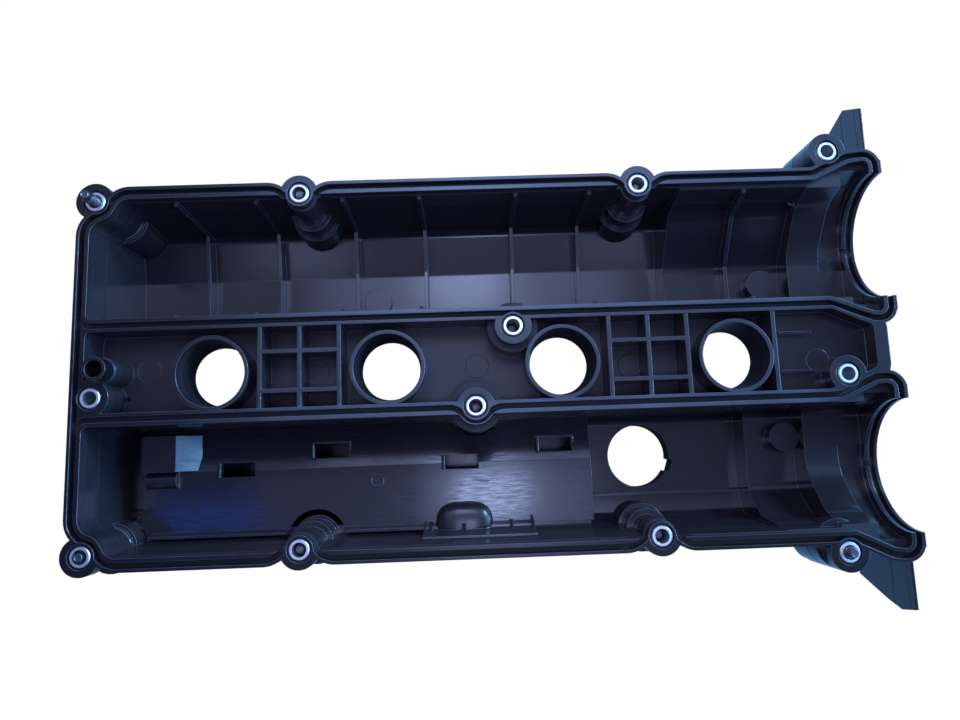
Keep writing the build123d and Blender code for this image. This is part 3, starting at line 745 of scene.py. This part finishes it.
# %% [markdown]
# Each drain slot of the baffle has a rolled lip on its left edge. It is a round bar half sunk in
# the plate, and the same method sets one on every slot.

# %% Slot lips
BAFFLE_Z = 33.0 * MM
SLOTS_MM = [(-130.0, -48.2), (-79.8, -39.6), (-9.2, -48.0), (42.2, -40.3)]
SLOT_HALF_MM = 9.5
LIP_LEN, LIP_R, LIP_STEPS = 7.4 * MM, 1.1 * MM, 12
SIDE_CORNERS = 4


def lip_tree():
    sizes = {"Length": "Float", "Radius": "Float"}
    tree, given = geometry_tree("slot_lips", {**sizes, "Material": "Material"})
    start = tree.node("ShaderNodeCombineXYZ", None, {"Y": given["Length"] * -0.5})
    end = tree.node("ShaderNodeCombineXYZ", None, {"Y": given["Length"] * 0.5})
    line = tree.node("GeometryNodeCurvePrimitiveLine", None, {"Start": start, "End": end})
    bar = swept(tree, line, circle(tree, LIP_STEPS, given["Radius"]), True)
    return close_tree(tree, on_points(tree, given["Geometry"], bar), given["Material"])


def slot_lips():
    places = [(PLAN_X + (x - SLOT_HALF_MM) * MM, PLAN_Y + y * MM, BAFFLE_Z) for x, y in SLOTS_MM]
    piece = link_mesh("slot_lips", places, [], "baffle_nylon")
    sizes = {"Length": LIP_LEN, "Radius": LIP_R}
    grow(piece, lip_tree(), {**sizes, "Material": FINISHES["baffle_nylon"]})
    for face in piece.data.polygons:
        face.use_smooth = len(face.vertices) == SIDE_CORNERS
    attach(piece, NYLON_BODY)
    return piece


print("slot lips:", len(slot_lips().data.polygons), "faces")

# %% [markdown]
# ## The drain cup as a hood
#
# The real cup is a smooth hood in front of a thin plate, with five small fins, where the CAD solid
# has a rounded box and a low shelf. The hood's foot is a superellipse, which is a circle that has
# been pushed out towards a square, and so is its section. One formula gives the height over each
# point, so the mesh is worked out rather than sculpted. The plate and the fins are prisms.

# %% The hood
HOOD_MIDDLE = (PLAN_X - 8.2 * MM, PLAN_Y - 83.4 * MM)
HOOD_HALF, HOOD_REACH, HOOD_H = 15.4 * MM, 14.2 * MM, 8.5 * MM
SQUARE = 3.0
HOOD_RINGS, HOOD_STEPS = 14, 40


def hood_height(share):
    return BAFFLE_Z + HOOD_H * max(0.0, 1 - share**SQUARE) ** (1 / SQUARE)


def hood_point(share, turn):
    cos, sin = math.cos(turn), math.sin(turn)
    x = math.copysign(abs(cos) ** (2 / SQUARE), cos) * share * HOOD_HALF
    y = max(sin, 0.0) ** (2 / SQUARE) * share * HOOD_REACH
    return (HOOD_MIDDLE[0] + x, HOOD_MIDDLE[1] + y, hood_height(share))


def hood():
    """Half dome over a superellipse, closed by its flat back and its foot."""
    verts = [(*HOOD_MIDDLE, hood_height(0))]
    for ring in range(1, HOOD_RINGS + 1):
        share = math.sin(math.pi / 2 * ring / HOOD_RINGS)
        verts += [hood_point(share, math.pi * i / HOOD_STEPS) for i in range(HOOD_STEPS + 1)]
    row = HOOD_STEPS + 1
    firsts = [1 + ring * row for ring in range(HOOD_RINGS)]
    faces = [(0, 1 + i, 2 + i) for i in range(HOOD_STEPS)]
    for first in firsts[:-1]:
        for i in range(first, first + HOOD_STEPS):
            faces.append((i, i + row, i + row + 1, i + 1))
    faces.append(list(range(firsts[-1], firsts[-1] + row))[::-1])
    faces.append([0, *[first + HOOD_STEPS for first in firsts], *firsts[::-1]])
    return verts, faces


print("hood:", len(hood()[0]), "points")

# %% Plate, fins and the whole cup
SUNK_MM = -0.2
PLATE_X_MM, PLATE_RISE_MM = (-29.4, 28.6), 24.0
PLATE_FOOT_Y_MM, PLATE_TOP_Y_MM = (-83.6, -82.4), (-85.7, -84.5)
FIN_BACK_MM, RISE_PER_LEAN = -83.0, 15.0
# Left side, thickness, front, height at the plate and height at the front.
FINS_MM = [
    (-29.4, 1.2, -79.0, 15.0, 1.5),
    (-27.0, 1.9, -79.4, 12.0, 1.2),
    (-9.3, 1.9, -79.4, 12.0, 8.2),
    (15.7, 1.9, -79.4, 12.0, 1.2),
    (27.4, 1.2, -77.5, 15.0, 1.5),
]


def block(xs, foot_ys, top_ys, rises):
    """Foot and top loops of a block; rises are the top's heights at its back and front."""
    left, right = xs
    foot = [(left, foot_ys[0]), (right, foot_ys[0]), (right, foot_ys[1]), (left, foot_ys[1])]
    top = [(left, top_ys[0]), (right, top_ys[0]), (right, top_ys[1]), (left, top_ys[1])]
    back, front = rises
    foot = [(x, y, SUNK_MM) for x, y in foot]
    top = [(x, y, rise) for (x, y), rise in zip(top, (back, back, front, front))]
    return [(PLAN_X + x * MM, PLAN_Y + y * MM, BAFFLE_Z + z * MM) for x, y, z in foot + top]


def block_faces(first):
    """The six faces of a block whose eight points start at first."""
    faces = [(3, 2, 1, 0), (4, 5, 6, 7)]
    faces += [(i, (i + 1) % 4, 4 + (i + 1) % 4, 4 + i) for i in range(4)]
    return [tuple(first + corner for corner in face) for face in faces]


def drain_cup():
    verts, faces = hood()
    blocks = [block(PLATE_X_MM, PLATE_FOOT_Y_MM, PLATE_TOP_Y_MM, (PLATE_RISE_MM, PLATE_RISE_MM))]
    for x, thick, front, high, low in FINS_MM:
        leaning = FIN_BACK_MM - high / RISE_PER_LEAN
        blocks.append(block((x, x + thick), (FIN_BACK_MM, front), (leaning, front), (high, low)))
    for points in blocks:
        faces += block_faces(len(verts))
        verts += points
    piece = link_mesh("drain_cup_hood", verts, faces, "cup_nylon")
    for face in piece.data.polygons:
        face.use_smooth = face.index < HOOD_RINGS * HOOD_STEPS
    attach(piece, NYLON_BODY)
    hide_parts("drain_cup")
    return piece


print("drain cup:", len(drain_cup().data.polygons), "faces")

# %% [markdown]
# ## Table and light
#
# The table is pale. The camera sees it as plain white, also through the open wells, while the
# cover itself sees a matt table with a dark painted shadow under the cover and blue beside it. A
# Light Path node tells the two kinds of ray apart.

# %% Table
TABLE_M, TABLE_DROP = 8.0, 0.2 * MM
UNDER_X_M, UNDER_Y_M = (0.15, 0.19), (0.08, 0.12)
# The dark colour under the cover is a painted shadow.
PAINTED_SHADOW, OPEN_TABLE = (0.10, 0.10, 0.10, 1.0), (0.5, 0.68, 0.76, 1.0)
WHITE = (1.0, 1.0, 1.0, 1.0)


def outside(tree, value, half_m):
    """0 near the middle, 1 past the second of two half widths."""
    return between(tree, value * value, half_m[0] ** 2, half_m[1] ** 2)


def table():
    half = TABLE_M / 2
    corners = [(-half, -half), (half, -half), (half, half), (-half, half)]
    mesh = bpy.data.meshes.new("table")
    mesh.from_pydata([(x, y, -TABLE_DROP) for x, y in corners], [], [(0, 1, 2, 3)])
    floor = bpy.data.objects.new("table", mesh)
    bpy.context.collection.objects.link(floor)
    material, tree = material_tree("table")
    place = object_place(tree)
    beside = outside(tree, along(tree, place, "Y"), UNDER_Y_M)
    beside = beside + outside(tree, along(tree, place, "X"), UNDER_X_M)
    # Painted shadow: the matt table is dark under the cover and blue beside it.
    shade = blend(tree, beside, PAINTED_SHADOW, OPEN_TABLE)
    matt = tree.node("ShaderNodeBsdfDiffuse", None, {"Color": shade})
    glow = tree.node("ShaderNodeEmission", None, {"Color": WHITE, "Strength": 1.0})
    seen = tree.node("ShaderNodeLightPath", output="Is Camera Ray")
    both = tree.node("ShaderNodeMixShader", None, {0: seen, 1: matt, 2: glow})
    tree.node("ShaderNodeOutputMaterial", None, {"Surface": both})
    mesh.materials.append(material)


table()
print("table:", TABLE_M, "m wide")

# %% [markdown]
# Black plastic shows little but what it mirrors, so the lamps are placed by reflection. A level
# floor mirrors a point as far past its own place as the camera is before it. The panels therefore
# hang level with the camera, each over the place that its floor mirrors: a bright strip with a
# brighter core for the crown of the plain hump, another for the baffle with a round spot in it,
# a faint one with its own core for the channel, and small ones for the crate floors and the neck.
# A blue card makes the blue patch at the baffle's left end.
#
# A wide deep blue window on the timing side draws the blue edges, and two small bright ones by it
# put the glints on lips and columns. The sky is a soft dome, brightest at the horizon, low at a
# slant, and a little brighter again overhead.

# %% Light panels
LAMP_BLUE, DEEP_BLUE, CARD_BLUE = (0.48, 0.57, 1.0), (0.17, 0.43, 1.0), (0.03, 0.1, 1.0)
LAMP_UP_MM = 408
WINDOW_AIM_MM = (-60, 0, 30)
WHITER_BLUE, WHITEST_BLUE = (0.22, 0.55, 1.0), (0.35, 0.65, 1.0)


def panel(name, place_mm, aim_mm, size_mm, colour, radiance, shape="RECTANGLE"):
    """Soft panel that faces the place it aims at; radiance is how bright it looks."""
    light = bpy.data.lights.new(name, "AREA")
    light.shape = shape
    light.size, light.size_y = size_mm[0] * MM, size_mm[1] * MM
    light.color = colour
    light.energy = radiance * math.pi * light.size * light.size_y
    lamp = bpy.data.objects.new(name, light)
    place, aim = Vector(place_mm) * MM, Vector(aim_mm) * MM
    facing = (aim - place).to_track_quat("-Z", "Y")
    lamp.matrix_world = Matrix.Translation(place) @ facing.to_matrix().to_4x4()
    lamp.visible_camera = False
    bpy.context.collection.objects.link(lamp)


def hung(name, middle_mm, size_mm, radiance, above_mm=0, colour=LAMP_BLUE, shape="RECTANGLE"):
    """Panel that looks straight down; of two that overlap, the brighter one hangs lower."""
    place, aim = (*middle_mm, LAMP_UP_MM + above_mm), (*middle_mm, 0)
    panel(name, place, aim, size_mm, colour, radiance, shape)


hung("strip_core", (-9, 178), (96, 122), 9.0)
hung("strip_plain", (-3, 180), (356, 170), 2.4, above_mm=2)
hung("strip_ends", (-20, 190), (860, 180), 0.75, above_mm=4)
hung("strip_baffle", (32, -100), (190, 84), 2.7, above_mm=2)
hung("strip_left", (-150, -100), (190, 84), 0.5, above_mm=4)
hung("spot_baffle", (12, -92), (88, 54), 12.0, shape="ELLIPSE")
hung("strip_channel", (0, 48), (620, 75), 0.42, above_mm=4)
hung("channel_core", (4, 92), (150, 36), 2.6)
hung("blue_card", (-292, -108), (110, 34), 2.8, colour=CARD_BLUE)
hung("cells_left", (-195, 42), (104, 64), 2.2)
hung("cells_right", (170, 42), (92, 64), 1.6)
hung("strip_neck", (230, -70), (210, 110), 0.35, above_mm=4)
panel("window", (2100, 120, 1080), WINDOW_AIM_MM, (3100, 1500), DEEP_BLUE, 4.1)
panel("window_low", (2150, 60, 480), WINDOW_AIM_MM, (460, 170), WHITER_BLUE, 80.0)
panel("window_core", (1850, 1000, 1000), WINDOW_AIM_MM, (420, 300), WHITEST_BLUE, 120.0)

# %% Sky
SKY_BLUE = (0.5, 0.6, 1.0, 1.0)
# Height above the horizon, as the sine of the angle, and brightness there.
SKY_STOPS = [(0.0, 0.45), (0.2, 0.35), (0.4, 0.16), (0.75, 0.14), (0.88, 0.22), (1.0, 0.28)]


def sky():
    """Dome whose brightness depends only on how high one looks."""
    world = bpy.data.worlds.new("sky")
    world.use_nodes = True
    world.node_tree.nodes.clear()
    tree = Tree(world.node_tree)
    height = along(tree, tree.node("ShaderNodeTexCoord", output="Generated"), "Z")
    bright = tree.node("ShaderNodeValToRGB", {"stops": SKY_STOPS}, {"Fac": height})
    fill = tree.node("ShaderNodeBackground", None, {"Color": SKY_BLUE, "Strength": bright})
    white = tree.node("ShaderNodeBackground", None, {"Color": WHITE, "Strength": 1.0})
    seen = tree.node("ShaderNodeLightPath", output="Is Camera Ray")
    both = tree.node("ShaderNodeMixShader", None, {0: seen, 1: fill, 2: white})
    tree.node("ShaderNodeOutputWorld", None, {"Surface": both})
    bpy.context.scene.world = world


sky()
bpy.context.scene.view_settings.view_transform = "Standard"
print("sky brightness from", SKY_STOPS[0][1], "level to", SKY_STOPS[-1][1], "overhead")
